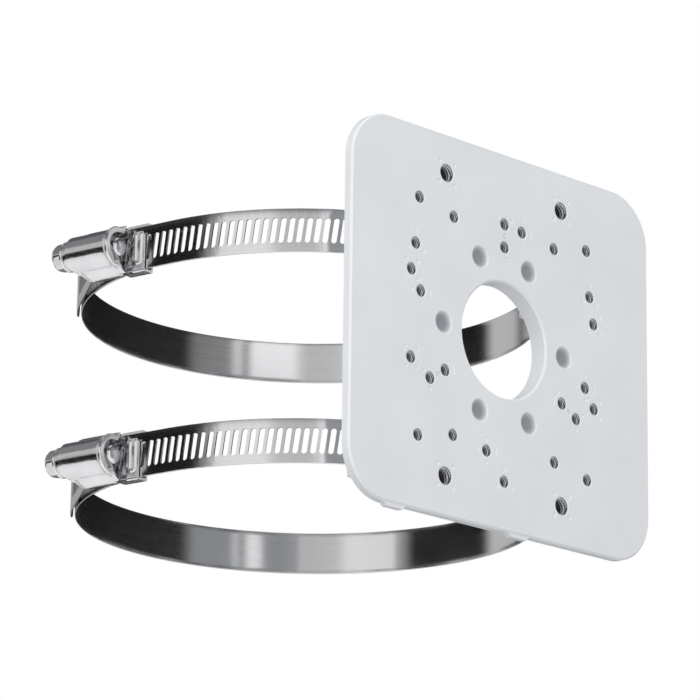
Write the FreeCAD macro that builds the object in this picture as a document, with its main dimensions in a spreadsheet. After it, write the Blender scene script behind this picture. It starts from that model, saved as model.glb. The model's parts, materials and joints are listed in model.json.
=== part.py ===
import FreeCAD, Part
import math
import os
import Sketcher

# Pole mount bracket for a camera: a cast plate with a universal hole pattern, held to a
# pole by two worm-drive band clamps.
#
# Frame: the plate stands upright with its front face in the plane Y = 0, facing -Y.
# Seen from the front, +X is to the right and +Z is up. The pole runs along Z behind the
# plate. The origin is the centre of the cable hole in the front face.

document = FreeCAD.newDocument("pole_mount_bracket")

# Driving sizes, in millimetres and degrees
SIZES = {
    # cast plate
    "plate_width": 133.0,
    "plate_height": 121.0,
    "rim_thickness": 3.0,
    "corner_radius": 16.0,
    "front_edge_bevel": 0.6,
    "platform_side_margin": 14.5,
    "platform_end_margin": 6.5,
    "platform_corner": 10.0,
    "platform_rise": 3.0,
    "cable_hole_radius": 18.5,
    "cable_hole_chamfer": 0.6,
    # screw pattern in the plate
    "small_tap_radius": 1.85,
    "large_tap_radius": 2.75,
    "large_tap_span": 51.5,
    "large_tap_rise": 96.0,
    "inner_ring_radius": 30.0,
    "middle_ring_radius": 37.5,
    "outer_ring_radius": 45.0,
    "turned_ring_angle": 12.0,
    "tall_pattern_span": 45.0,
    "tall_pattern_rise": 69.3,
    "wide_pattern_span": 81.5,
    "wide_pattern_rise": 27.8,
    "square_pattern_side": 75.0,
    # blind locating recesses round the cable hole
    "recess_ring_radius": 26.8,
    "recess_angle": 66.0,
    "recess_radius": 3.4,
    "recess_depth": 1.4,
    # casting gate stubs on the lower edge
    "gate_width": 9.0,
    "gate_height": 1.1,
    "gate_thickness": 2.0,
    "first_gate_place": -46.6,
    "second_gate_place": 6.9,
    # ears that carry the bands and seat the pole
    "ear_span": 72.0,
    "ear_thickness": 4.0,
    "ear_root_flare": 2.5,
    "ear_wall": 3.0,
    "clamp_spacing": 67.0,
    "slot_clearance": 1.2,
    "band_drop": 2.4,
    "seat_gap": 0.3,
    # band: one strip, plain for most of its turn and slotted towards its free tail
    "band_radius": 74.3,
    "band_thickness": 0.65,
    "band_width": 14.0,
    "band_standoff": 12.9,
    "clamp_angle": 190.0,
    "overlap_angle": 9.0,
    "run_length": 27.0,
    "bend_radius": 10.0,
    "tail_gap": 0.75,
    "tail_end_angle": 56.0,
    "tail_corner": 4.5,
    "slot_pitch_angle": 2.108,
    "band_slot_width": 1.7,
    "band_slot_length": 8.2,
    "band_slot_lean": 7.5,
    "slotted_arc": 52.0,
    # saddle: the sheet under the overlap, folded round both band edges
    "saddle_thickness": 0.8,
    "saddle_start_angle": 7.3,
    "saddle_end_angle": 24.0,
    "keeper_length": 4.4,
    "keeper_bead_radius": 0.8,
    "keeper_bead_length": 10.4,
    "layer_gap": 0.1,
    # housing: the pressed tunnel that holds the worm down on the band
    "housing_start": 15.8,
    "housing_length": 17.5,
    "tunnel_radius": 5.8,
    "tunnel_arch_angle": 120.0,
    "shoulder_round": 1.2,
    "sheet_thickness": 0.8,
    "skirt_gap": 0.15,
    "lip_reach": 3.2,
    "end_wall": 1.5,
    "foot_setback": 1.7,
    "foot_length": 13.3,
    "mouth_flare_length": 2.1,
    "mouth_flare_angle": 20.0,
    # worm screw
    "tip_place": 14.6,
    "tip_length": 3.6,
    "neck_radius": 3.1,
    "flange_radius": 5.0,
    "flange_thickness": 2.9,
    "hexagon_flats": 8.0,
    "hexagon_height": 3.7,
    "bevel_slope": 0.6,
    "driver_slot_width": 1.2,
    "driver_slot_depth": 1.6,
    "running_gap": 0.3,
}

sheet = document.addObject("Spreadsheet::Sheet", "Size")
for row, (alias, number) in enumerate(SIZES.items(), start=1):
    sheet.set(f"A{row}", alias.replace("_", " "))
    sheet.set(f"B{row}", str(number))
    sheet.setAlias(f"B{row}", alias)
document.recompute()


def value(expression):
    """The number that an expression on the sheet gives."""
    result = sheet.evalExpression(expression)
    return float(getattr(result, "Value", result))


# Sizes that follow from the driving ones, written as expressions
PLATE_BACK = "(Size.rim_thickness + Size.platform_rise)"
PLATFORM_WIDTH = "(Size.plate_width - 2 * Size.platform_side_margin)"
PLATFORM_HEIGHT = "(Size.plate_height - 2 * Size.platform_end_margin)"
RING_CENTRE = "(Size.band_standoff + Size.band_radius)"
BAND_INSIDE = "(Size.band_radius - Size.band_thickness)"
EAR_INSIDE = "(Size.ear_span / 2)"
EAR_SEAT_RADIUS = f"({BAND_INSIDE} - Size.slot_clearance - Size.ear_wall)"
EAR_DEPTH = f"({RING_CENTRE} - sqrt({EAR_SEAT_RADIUS} ^ 2 - {EAR_INSIDE} ^ 2))"
SLOT_HEIGHT = "(Size.band_width + 2 * (Size.band_drop + Size.seat_gap))"
EAR_HEIGHT = f"({SLOT_HEIGHT} + 2 * Size.ear_wall)"
SADDLE_OUTSIDE = f"({BAND_INSIDE} - Size.layer_gap)"
SADDLE_INSIDE = f"({SADDLE_OUTSIDE} - Size.saddle_thickness)"
LIP_OUTSIDE = f"({BAND_INSIDE} - Size.layer_gap)"
LIP_INSIDE = f"({LIP_OUTSIDE} - Size.sheet_thickness)"
SKIRT_INSIDE = "(Size.band_width / 2 + Size.skirt_gap)"
SKIRT_OUTSIDE = f"({SKIRT_INSIDE} + Size.sheet_thickness)"
TUNNEL_INSIDE = "(Size.tunnel_radius - Size.sheet_thickness)"
WORM_RADIUS = f"({TUNNEL_INSIDE} - Size.running_gap)"
SCREW_AXIS = f"(Size.band_radius + {TUNNEL_INSIDE})"
HOUSING_END = "(Size.housing_start + Size.housing_length)"
SLOT_PITCH = "(Size.band_radius * Size.slot_pitch_angle * pi / 180)"


def new_body(label):
    """A body whose label is the node's name."""
    body = document.addObject("PartDesign::Body", label)
    body.Label = label
    return body


def origin_feature(body, role):
    """One plane or axis of the body's own origin."""
    for feature in body.Origin.OriginFeatures:
        if feature.Role == role:
            return feature
    raise ValueError(role)


def sketch_on(body, role, name, offset=None):
    """A sketch on an origin plane, moved along the plane's normal by an expression."""
    sketch = body.newObject("Sketcher::SketchObject", name)
    sketch.AttachmentSupport = [(origin_feature(body, role), "")]
    sketch.MapMode = "FlatFace"
    if offset:
        sketch.setExpression("AttachmentOffset.Base.z", offset)
    return sketch


def bind(sketch, constraint, expression):
    """Adds a constraint whose value is an expression on the sheet."""
    index = sketch.addConstraint(constraint)
    sketch.setExpression(f"Constraints[{index}]", expression)


def circle(sketch, across, up, radius):
    """A circle placed from the sketch's origin, all three sizes given as expressions."""
    centre = FreeCAD.Vector(value(across), value(up), 0)
    normal = FreeCAD.Vector(0, 0, 1)
    index = sketch.addGeometry(Part.Circle(centre, normal, value(radius)))
    bind(sketch, Sketcher.Constraint("Radius", index, value(radius)), radius)
    bind(sketch, Sketcher.Constraint("DistanceX", -1, 1, index, 3, centre.x), across)
    bind(sketch, Sketcher.Constraint("DistanceY", -1, 1, index, 3, centre.y), up)
    return index


def polygon(sketch, corners):
    """A closed outline of straight sides through corners given as pairs of expressions."""
    points = [FreeCAD.Vector(value(across), value(up), 0) for across, up in corners]
    sides = []
    for start, end in zip(points, points[1:] + points[:1]):
        sides.append(sketch.addGeometry(Part.LineSegment(start, end)))
    for side, following in zip(sides, sides[1:] + sides[:1]):
        sketch.addConstraint(Sketcher.Constraint("Coincident", side, 2, following, 1))
    for side, point, (across, up) in zip(sides, points, corners):
        bind(sketch, Sketcher.Constraint("DistanceX", -1, 1, side, 1, point.x), across)
        bind(sketch, Sketcher.Constraint("DistanceY", -1, 1, side, 1, point.y), up)
    return sides


def rectangle(sketch, left, right, low, high):
    """A rectangle between four expressions."""
    return polygon(sketch, [(left, low), (right, low), (right, high), (left, high)])


def pad(body, sketch, length, midplane=False, reverse=False):
    """Adds material from a sketch."""
    feature = body.newObject("PartDesign::Pad", sketch.Name + "_pad")
    feature.Profile = sketch
    feature.setExpression("Length", length)
    feature.Midplane = midplane
    feature.Reversed = reverse
    document.recompute()
    return feature


def pocket(body, sketch, length, midplane=False, reverse=False):
    """Cuts material from a sketch, and makes sure that something was cut."""
    before = body.Shape.Volume
    feature = body.newObject("PartDesign::Pocket", sketch.Name + "_cut")
    feature.Profile = sketch
    feature.setExpression("Length", length)
    feature.Midplane = midplane
    feature.Reversed = reverse
    document.recompute()
    if body.Shape.Volume >= before:
        raise ValueError(f"{feature.Name} cuts nothing")
    return feature


def edge_names(shape, wanted):
    """The names of the edges for which wanted(edge) is true."""
    names = []
    for index, edge in enumerate(shape.Edges, start=1):
        if wanted(edge):
            names.append(f"Edge{index}")
    return names


def dress(body, kind, base, names, size_property, size):
    """A fillet or chamfer on named edges of the feature before it."""
    feature = body.newObject(kind, f"{base.Name}_{kind.split('::')[1].lower()}")
    feature.Base = (base, names)
    feature.setExpression(size_property, size)
    document.recompute()
    return feature


def upright_at(edge, across, high, tolerance=0.01):
    """True for an edge along Y at the given distance from both centre planes."""
    box = edge.BoundBox
    if box.XLength > tolerance or box.ZLength > tolerance:
        return False
    centre = box.Center
    return abs(abs(centre.x) - across) < tolerance and abs(abs(centre.z) - high) < tolerance


# The cast plate: a thin rim, a thicker platform behind the screw holes, and four ears
def corner_fillet(body, base, across, high, radius):
    names = edge_names(base.Shape, lambda edge: upright_at(edge, value(across), value(high)))
    return dress(body, "PartDesign::Fillet", base, names, "Radius", radius)


def centred_plate(body, name, width, height, offset, thickness):
    sketch = sketch_on(body, "XZ_Plane", name, offset)
    rectangle(sketch, f"-{width} / 2", f"{width} / 2", f"-{height} / 2", f"{height} / 2")
    return pad(body, sketch, thickness, reverse=True)


def hole_places():
    """The small tapped holes, as pairs of expressions."""
    places = []
    for radius in ("inner_ring_radius", "middle_ring_radius"):
        for angle in (90, 210, 330):
            places.append((f"Size.{radius}", f"{angle} deg"))
    for angle in (30, 150, 270):
        places.append(("Size.outer_ring_radius", f"{angle} deg"))
    for angle in (90, 180, 270, 360):
        turned = f"({angle} deg - Size.turned_ring_angle * 1 deg)"
        places.append(("Size.middle_ring_radius", turned))
    pairs = [(f"{radius} * cos({angle})", f"{radius} * sin({angle})") for radius, angle in places]
    for span, rise in (
        ("tall_pattern_span", "tall_pattern_rise"),
        ("wide_pattern_span", "wide_pattern_rise"),
        ("square_pattern_side", "square_pattern_side"),
    ):
        pairs += four_corners(f"Size.{span}", f"Size.{rise}")
    return pairs


def four_corners(span, rise):
    return [(f"{x} * {span} / 2", f"{z} * {rise} / 2") for x in (-1, 1) for z in (-1, 1)]


def add_ears(body):
    """Two ears at each band, slotted on an arc round the pole's axis."""
    for level, side_of_centre in (("upper", 1), ("lower", -1)):
        middle = f"({side_of_centre} * Size.clamp_spacing / 2)"
        sketch = sketch_on(body, "XY_Plane", f"{level}_ears", middle)
        root = "(Size.rim_thickness / 2)"
        for side in (-1, 1):
            inside = f"{side} * {EAR_INSIDE}"
            outside = f"{side} * ({EAR_INSIDE} + Size.ear_thickness)"
            foot_inside = f"{side} * ({EAR_INSIDE} - Size.ear_root_flare)"
            foot_outside = f"{side} * ({EAR_INSIDE} + Size.ear_thickness + Size.ear_root_flare)"
            knee = f"({PLATE_BACK} + 2 * Size.ear_root_flare)"
            polygon(sketch, [
                (foot_inside, root), (foot_outside, root), (foot_outside, PLATE_BACK),
                (outside, knee), (outside, EAR_DEPTH), (inside, EAR_DEPTH),
                (inside, knee), (foot_inside, PLATE_BACK),
            ])
        pad(body, sketch, EAR_HEIGHT, midplane=True)
    for level, side_of_centre in (("upper", 1), ("lower", -1)):
        middle = f"({side_of_centre} * Size.clamp_spacing / 2)"
        sketch = sketch_on(body, "XY_Plane", f"{level}_band_slots", middle)
        circle(sketch, "0", RING_CENTRE, f"{BAND_INSIDE} - Size.slot_clearance")
        circle(sketch, "0", RING_CENTRE, "Size.band_radius + Size.slot_clearance")
        pocket(body, sketch, SLOT_HEIGHT, midplane=True)


def mounting_plate():
    body = new_body("mounting_plate")
    rim = centred_plate(body, "rim", "Size.plate_width", "Size.plate_height", "0",
                        "Size.rim_thickness")
    rim = corner_fillet(body, rim, "Size.plate_width / 2", "Size.plate_height / 2",
                        "Size.corner_radius")

    def on_front_edge(edge):
        return edge.BoundBox.YMax < 0.01

    dress(body, "PartDesign::Chamfer", rim, edge_names(rim.Shape, on_front_edge), "Size",
          "Size.front_edge_bevel")

    raised = centred_plate(body, "platform", PLATFORM_WIDTH, PLATFORM_HEIGHT,
                           "-Size.rim_thickness", "Size.platform_rise")
    corner_fillet(body, raised, f"{PLATFORM_WIDTH} / 2", f"{PLATFORM_HEIGHT} / 2",
                  "Size.platform_corner")
    add_ears(body)

    gates = sketch_on(body, "XZ_Plane", "gate_stubs",
                      "-(Size.rim_thickness - Size.gate_thickness) / 2")
    for place in ("Size.first_gate_place", "Size.second_gate_place"):
        edge = "-Size.plate_height / 2"
        inner = "(Size.gate_width / 2 - Size.gate_height)"
        polygon(gates, [
            (f"{place} - Size.gate_width / 2", f"{edge} + Size.gate_height"),
            (f"{place} - Size.gate_width / 2", edge),
            (f"{place} - {inner}", f"{edge} - Size.gate_height"),
            (f"{place} + {inner}", f"{edge} - Size.gate_height"),
            (f"{place} + Size.gate_width / 2", edge),
            (f"{place} + Size.gate_width / 2", f"{edge} + Size.gate_height"),
        ])
    pad(body, gates, "Size.gate_thickness", reverse=True)

    small = sketch_on(body, "XZ_Plane", "small_tapped_holes")
    for across, up in hole_places():
        circle(small, across, up, "Size.small_tap_radius")
    pocket(body, small, f"2 * {PLATE_BACK}", midplane=True)

    large = sketch_on(body, "XZ_Plane", "large_tapped_holes")
    for across, up in four_corners("Size.large_tap_span", "Size.large_tap_rise"):
        circle(large, across, up, "Size.large_tap_radius")
    pocket(body, large, f"2 * {PLATE_BACK}", midplane=True)

    recesses = sketch_on(body, "XZ_Plane", "recesses")
    for angle in ("0 deg", "Size.recess_angle * 1 deg"):
        for side in (-1, 1):
            for lift in (-1, 1) if angle != "0 deg" else (1,):
                circle(recesses, f"{side} * Size.recess_ring_radius * cos({angle})",
                       f"{lift} * Size.recess_ring_radius * sin({angle})", "Size.recess_radius")
    pocket(body, recesses, "2 * Size.recess_depth", midplane=True)

    cable = sketch_on(body, "XZ_Plane", "cable_hole")
    circle(cable, "0", "0", "Size.cable_hole_radius")
    bored = pocket(body, cable, f"2 * {PLATE_BACK}", midplane=True)

    def on_hole_mouth(edge):
        box = edge.BoundBox
        wide = abs(box.XLength - 2 * value("Size.cable_hole_radius")) < 0.01
        return wide and box.YMax < 0.01

    dress(body, "PartDesign::Chamfer", bored, edge_names(bored.Shape, on_hole_mouth), "Size",
          "Size.cable_hole_chamfer")
    return body


# The clamps. Each is drawn in its own frame: the origin is on the pole's axis at the band's
# mid height, +X points at the place where the band leaves its circle for the straight run
# through the housing, and the run goes along -Y.
def seat_clamp_part(body, level):
    """Puts a clamp part at its band's place in the bracket."""
    side_of_centre = 1 if level == "upper" else -1
    height = f"{side_of_centre} * Size.clamp_spacing / 2 - Size.band_drop"
    body.setExpression("Placement.Base.y", RING_CENTRE)
    body.setExpression("Placement.Base.z", height)
    body.setExpression("Placement.Rotation.Angle", "Size.clamp_angle * 1 deg")


# The free tail bends in after the run, goes straight until it lies along the ring, and then
# follows it.
TAIL_RADIUS = "(Size.band_radius + Size.tail_gap + Size.band_thickness)"
BEND_CENTRE = "(Size.band_radius - Size.bend_radius)"
TAIL_TURN = (
    f"(atan(Size.run_length / {BEND_CENTRE})"
    f" + acos(({TAIL_RADIUS} - Size.bend_radius) / sqrt({BEND_CENTRE} ^ 2 + Size.run_length ^ 2)))"
)
TAIL_STRAIGHT = (
    f"sqrt({BEND_CENTRE} ^ 2 + Size.run_length ^ 2 - ({TAIL_RADIUS} - Size.bend_radius) ^ 2)"
)
PLAIN_END = "(360 deg - Size.overlap_angle * 1 deg)"


def arc(sketch, across, up, radius, start, end):
    """An arc drawn anticlockwise between two angles, all of it given as expressions."""
    centre = FreeCAD.Vector(value(across), value(up), 0)
    round_size = value(radius)
    ends = [math.radians(value(start)), math.radians(value(end))]
    whole = Part.Circle(centre, FreeCAD.Vector(0, 0, 1), round_size)
    index = sketch.addGeometry(Part.ArcOfCircle(whole, ends[0], ends[1]))
    bind(sketch, Sketcher.Constraint("Radius", index, round_size), radius)
    bind(sketch, Sketcher.Constraint("DistanceX", -1, 1, index, 3, centre.x), across)
    bind(sketch, Sketcher.Constraint("DistanceY", -1, 1, index, 3, centre.y), up)
    for point, angle, expression in ((1, ends[0], start), (2, ends[1], end)):
        if abs(math.cos(angle)) > abs(math.sin(angle)):
            place = centre.y + round_size * math.sin(angle)
            constraint = Sketcher.Constraint("DistanceY", -1, 1, index, point, place)
            bind(sketch, constraint, f"{up} + {radius} * sin({expression})")
        else:
            place = centre.x + round_size * math.cos(angle)
            constraint = Sketcher.Constraint("DistanceX", -1, 1, index, point, place)
            bind(sketch, constraint, f"{across} + {radius} * cos({expression})")
    return index


def join(sketch, first, first_point, second, second_point):
    """A straight side between the ends of two curves."""
    start = sketch.getPoint(first, first_point)
    end = sketch.getPoint(second, second_point)
    side = sketch.addGeometry(Part.LineSegment(start, end))
    sketch.addConstraint(Sketcher.Constraint("Coincident", side, 1, first, first_point))
    sketch.addConstraint(Sketcher.Constraint("Coincident", side, 2, second, second_point))
    return side


def side_to(sketch, curve, point, across, up):
    """A straight side from the end of a curve to a place given as two expressions."""
    start = sketch.getPoint(curve, point)
    end = FreeCAD.Vector(value(across), value(up), 0)
    side = sketch.addGeometry(Part.LineSegment(start, end))
    sketch.addConstraint(Sketcher.Constraint("Coincident", side, 1, curve, point))
    bind(sketch, Sketcher.Constraint("DistanceX", -1, 1, side, 2, end.x), across)
    bind(sketch, Sketcher.Constraint("DistanceY", -1, 1, side, 2, end.y), up)
    return side


def strip_outline(sketch):
    """The band seen along the pole: a turn, a straight run, a bend and the free tail."""
    turns = []
    bends = []
    tails = []
    for inset in ("0", "Size.band_thickness"):
        radius = f"(Size.band_radius - {inset})"
        bend = f"(Size.bend_radius - {inset})"
        turns.append(arc(sketch, "0", "0", radius, "0 deg", PLAIN_END))
        bends.append(arc(sketch, BEND_CENTRE, "-Size.run_length", bend, f"-{TAIL_TURN}", "0 deg"))
        join(sketch, turns[-1], 1, bends[-1], 2)
        follow = f"({TAIL_RADIUS} - {inset})"
        tails.append(arc(sketch, "0", "0", follow, "-(Size.tail_end_angle * 1 deg)", f"-{TAIL_TURN}"))
        join(sketch, bends[-1], 1, tails[-1], 2)
    join(sketch, turns[0], 2, turns[1], 2)
    join(sketch, tails[0], 1, tails[1], 1)


def slot_outline(sketch):
    """One leaning slot, centred on the sketch's origin."""
    rise = "(Size.band_slot_length / 2)"
    shift = f"({rise} * tan(Size.band_slot_lean * 1 deg))"
    half = "(Size.band_slot_width / 2)"
    polygon(sketch, [
        (f"-{shift} - {half}", f"-{rise}"), (f"-{shift} + {half}", f"-{rise}"),
        (f"{shift} + {half}", rise), (f"{shift} - {half}", rise),
    ])


def add_row(body, cut, kind, axis, length, count, reverse=False):
    """Repeats a slot along a line or round an axis, and makes sure that more was cut."""
    before = body.Shape.Volume
    row = body.newObject(kind, f"{cut.Name}_row")
    row.Originals = [cut]
    if kind.endswith("PolarPattern"):
        row.Axis = axis
        row.setExpression("Angle", length)
    else:
        row.Direction = axis
        row.setExpression("Length", length)
    row.Reversed = reverse
    row.Occurrences = count
    body.Tip = row
    document.recompute()
    if count > 1 and body.Shape.Volume >= before:
        raise ValueError(f"{row.Name} cuts nothing")
    return row


def turned_slot(body, name, centre, along, radius, turn, lead):
    """A slot in a stretch of band that has turned away from the straight run."""
    sketch = sketch_on(body, "YZ_Plane", name)
    backwards = FreeCAD.Rotation(FreeCAD.Vector(0, -1, 0), 1)
    sketch.AttachmentOffset = FreeCAD.Placement(FreeCAD.Vector(), backwards)
    sketch.setExpression("AttachmentOffset.Rotation.Angle", turn)
    sketch.setExpression("AttachmentOffset.Base.z",
                         f"{centre} + {radius} * cos({turn}) - {lead} * sin({turn})")
    sketch.setExpression("AttachmentOffset.Base.x",
                         f"-{along} - {radius} * sin({turn}) - {lead} * cos({turn})")
    slot_outline(sketch)
    return sketch


def band(level):
    body = new_body(f"{level}_band")
    outline = sketch_on(body, "XY_Plane", f"{level}_strip")
    strip_outline(outline)
    strip = pad(body, outline, "Size.band_width", midplane=True)

    def at_tail_tip(edge):
        box = edge.BoundBox
        if box.ZLength > 0.01 or abs(edge.Length - value("Size.band_thickness")) > 0.01:
            return False
        return box.Center.y < -value("Size.run_length + 2 * Size.bend_radius")

    dress(body, "PartDesign::Fillet", strip, edge_names(strip.Shape, at_tail_tip), "Radius",
          "Size.tail_corner")

    slack = "Size.layer_gap"
    depth = f"(Size.band_thickness + 2 * {slack})"
    turn_count = int(value("Size.slotted_arc / Size.slot_pitch_angle"))
    run_count = 1 + int(value(f"Size.run_length / {SLOT_PITCH}"))
    first = sketch_on(body, "YZ_Plane", f"{level}_slot", f"Size.band_radius + {slack}")
    slot_outline(first)
    cut = pocket(body, first, depth)
    add_row(body, cut, "PartDesign::PolarPattern", (origin_feature(body, "Z_Axis"), [""]),
            f"{turn_count - 1} * Size.slot_pitch_angle", turn_count)
    add_row(body, cut, "PartDesign::LinearPattern", (origin_feature(body, "Y_Axis"), [""]),
            f"{run_count - 1} * {SLOT_PITCH}", run_count, reverse=True)

    bend_lead = f"({run_count} * {SLOT_PITCH} - Size.run_length)"
    bend_length = f"(Size.bend_radius * {TAIL_TURN} * pi / 180 deg)"
    bend_count = 1 + int(value(f"({bend_length} - {bend_lead}) / {SLOT_PITCH}"))
    outside = f"(Size.bend_radius + {slack})"
    for number in range(bend_count):
        turn = f"(({bend_lead} + {number} * {SLOT_PITCH}) / Size.bend_radius * 180 deg / pi)"
        sketch = turned_slot(body, f"{level}_bend_slot_{number}", BEND_CENTRE,
                             "Size.run_length", outside, turn, "0")
        pocket(body, sketch, depth)

    tail_lead = f"({bend_lead} + {bend_count} * {SLOT_PITCH} - {bend_length})"
    tail_count = 1 + int(value(f"({TAIL_STRAIGHT} - {tail_lead}) / {SLOT_PITCH}"))
    sketch = turned_slot(body, f"{level}_tail_slot", BEND_CENTRE, "Size.run_length", outside,
                         TAIL_TURN, tail_lead)
    cut = pocket(body, sketch, depth)
    add_row(body, cut, "PartDesign::LinearPattern", (sketch, ["H_Axis"]),
            f"{tail_count - 1} * {SLOT_PITCH}", tail_count, reverse=True)
    seat_clamp_part(body, level)
    return body


OVER_BAND = "(Size.band_radius + Size.running_gap)"
KEEPER_TOP = f"({OVER_BAND} + Size.saddle_thickness)"
KEEPER_NEAR = "(Size.band_radius * sin(Size.saddle_start_angle * 1 deg))"
KEEPER_FAR = f"({KEEPER_NEAR} + Size.keeper_length)"
EDGE_INSIDE = "(Size.band_width / 2 + Size.layer_gap)"


def plan_gap(sketch, inner_radius, top, start, end):
    """The space between a circle round the pole's axis and a straight top over the run."""
    floor = arc(sketch, "0", "0", inner_radius, start, end)
    upper = side_to(sketch, floor, 2, top, f"{inner_radius} * sin({end})")
    lower = side_to(sketch, upper, 2, top, f"{inner_radius} * sin({start})")
    join(sketch, lower, 2, floor, 1)


def saddle(level):
    body = new_body(f"{level}_saddle")
    start = "-(Size.saddle_end_angle * 1 deg)"
    end = "-(Size.saddle_start_angle * 1 deg)"
    liner = sketch_on(body, "XY_Plane", f"{level}_liner")
    outer = arc(liner, "0", "0", SADDLE_OUTSIDE, start, end)
    inner = arc(liner, "0", "0", SADDLE_INSIDE, start, end)
    join(liner, outer, 1, inner, 1)
    join(liner, outer, 2, inner, 2)
    pad(body, liner, f"2 * {EDGE_INSIDE}", midplane=True)

    keeper = sketch_on(body, "XY_Plane", f"{level}_keeper")
    floor = f"(sqrt({SADDLE_INSIDE} ^ 2 - ({KEEPER_FAR}) ^ 2) - Size.layer_gap)"
    rectangle(keeper, floor, KEEPER_TOP, f"-{KEEPER_FAR}", f"-{KEEPER_NEAR}")
    pad(body, keeper, f"2 * ({EDGE_INSIDE} + Size.saddle_thickness)", midplane=True)

    edge_lip = sketch_on(body, "XY_Plane", f"{level}_edge_lip")
    lip_end = "(Size.housing_start - Size.running_gap)"
    rectangle(edge_lip, floor, "(Size.band_radius - Size.band_thickness / 2)", f"-{lip_end}",
              f"-{KEEPER_NEAR}")
    pad(body, edge_lip, f"2 * ({EDGE_INSIDE} + Size.saddle_thickness)", midplane=True)

    passage = sketch_on(body, "XY_Plane", f"{level}_keeper_passage")
    plan_gap(passage, SADDLE_OUTSIDE, OVER_BAND, start, "0 deg")
    pocket(body, passage, f"2 * {EDGE_INSIDE}", midplane=True)

    beads = sketch_on(body, "XY_Plane", f"{level}_keeper_beads")
    for share in (1, 3):
        middle = f"-({KEEPER_NEAR} + {share} * Size.keeper_length / 4)"
        dome = arc(beads, KEEPER_TOP, middle, "Size.keeper_bead_radius", "-90 deg", "90 deg")
        join(beads, dome, 2, dome, 1)
    pad(body, beads, "Size.keeper_bead_length", midplane=True)
    seat_clamp_part(body, level)
    return body


def housing(level):
    body = new_body(f"{level}_housing")
    section = sketch_on(body, "XZ_Plane", f"{level}_housing_section", "Size.housing_start")
    shoulder = f"({OVER_BAND} + Size.sheet_thickness)"
    arch_start = "-(Size.tunnel_arch_angle * 1 deg)"
    arch_end = "(Size.tunnel_arch_angle * 1 deg)"
    arch = arc(section, SCREW_AXIS, "0", "Size.tunnel_radius", arch_start, arch_end)
    right = side_to(section, arch, 2, shoulder, SKIRT_OUTSIDE)
    right = side_to(section, right, 2, LIP_INSIDE, SKIRT_OUTSIDE)
    left = side_to(section, right, 2, LIP_INSIDE, f"-{SKIRT_OUTSIDE}")
    left = side_to(section, left, 2, shoulder, f"-{SKIRT_OUTSIDE}")
    join(section, left, 2, arch, 1)
    strip = pad(body, section, "Size.housing_length")

    def on_shoulder(edge):
        box = edge.BoundBox
        beside = abs(abs(box.Center.z) - value(SKIRT_OUTSIDE)) < 0.01
        return beside and box.YLength > 1 and box.XMin > value(OVER_BAND)

    dress(body, "PartDesign::Fillet", strip, edge_names(strip.Shape, on_shoulder), "Radius",
          "Size.shoulder_round")

    flare = sketch_on(body, "XZ_Plane", f"{level}_mouth_flare", "Size.housing_start")
    reach = "(Size.mouth_flare_length * tan(Size.mouth_flare_angle * 1 deg))"
    wide = arc(flare, SCREW_AXIS, "0", f"(Size.tunnel_radius + {reach})", arch_start, arch_end)
    join(flare, wide, 2, wide, 1)
    lip = pad(body, flare, "Size.mouth_flare_length")
    lip.setExpression("TaperAngle", "-(Size.mouth_flare_angle * 1 deg)")
    document.recompute()

    beyond = "(Size.housing_start + 2 * Size.housing_length)"
    channel = sketch_on(body, "XY_Plane", f"{level}_band_channel")
    rectangle(channel, LIP_OUTSIDE, OVER_BAND, f"-{beyond}", "0")
    pocket(body, channel, f"2 * {SKIRT_INSIDE}", midplane=True)

    between = sketch_on(body, "XY_Plane", f"{level}_between_lips")
    rectangle(between, f"({LIP_INSIDE} - Size.sheet_thickness)", BAND_INSIDE, f"-{beyond}", "0")
    pocket(body, between, f"2 * ({SKIRT_INSIDE} - Size.lip_reach)", midplane=True)

    past_lips = sketch_on(body, "XY_Plane", f"{level}_past_lips")
    rectangle(past_lips, f"({LIP_INSIDE} - Size.sheet_thickness)", BAND_INSIDE, f"-{beyond}",
              "-(Size.run_length - Size.running_gap)")
    pocket(body, past_lips, f"2 * {SKIRT_INSIDE}", midplane=True)

    bore_length = "(Size.housing_length - Size.end_wall)"
    bore = sketch_on(body, "XZ_Plane", f"{level}_tunnel_bore", "Size.housing_start")
    circle(bore, SCREW_AXIS, "0", TUNNEL_INSIDE)
    pocket(body, bore, bore_length, reverse=True)

    opening = sketch_on(body, "XZ_Plane", f"{level}_worm_opening", "Size.housing_start")
    rectangle(opening, BAND_INSIDE, SCREW_AXIS, f"-{TUNNEL_INSIDE}", TUNNEL_INSIDE)
    pocket(body, opening, bore_length, reverse=True)

    foot_near = "(Size.housing_start + Size.foot_setback)"
    foot_far = f"({foot_near} + Size.foot_length)"
    ends = sketch_on(body, "XY_Plane", f"{level}_foot_ends")
    for far, near, top in ((beyond, foot_far, shoulder), (foot_near, "0", OVER_BAND)):
        rectangle(ends, f"({LIP_INSIDE} - Size.sheet_thickness)", top, f"-{far}", f"-{near}")
    pocket(body, ends, f"4 * {SKIRT_OUTSIDE}", midplane=True)

    neck = sketch_on(body, "XZ_Plane", f"{level}_neck_bore", "Size.housing_start")
    circle(neck, SCREW_AXIS, "0", "Size.neck_radius + Size.running_gap")
    pocket(body, neck, "2 * Size.housing_length", reverse=True)
    seat_clamp_part(body, level)
    return body


WALL_NEAR = f"({HOUSING_END} - Size.end_wall - Size.running_gap)"
FLANGE_NEAR = f"({HOUSING_END} + Size.running_gap)"
HEAD_NEAR = f"({FLANGE_NEAR} + Size.flange_thickness)"
HEAD_FAR = f"({HEAD_NEAR} + Size.hexagon_height)"


def axis_sketch(body, name):
    """A sketch in the plan whose upright axis is the screw's axis."""
    sketch = sketch_on(body, "XY_Plane", name)
    sketch.setExpression("AttachmentOffset.Base.x", SCREW_AXIS)
    return sketch


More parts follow.
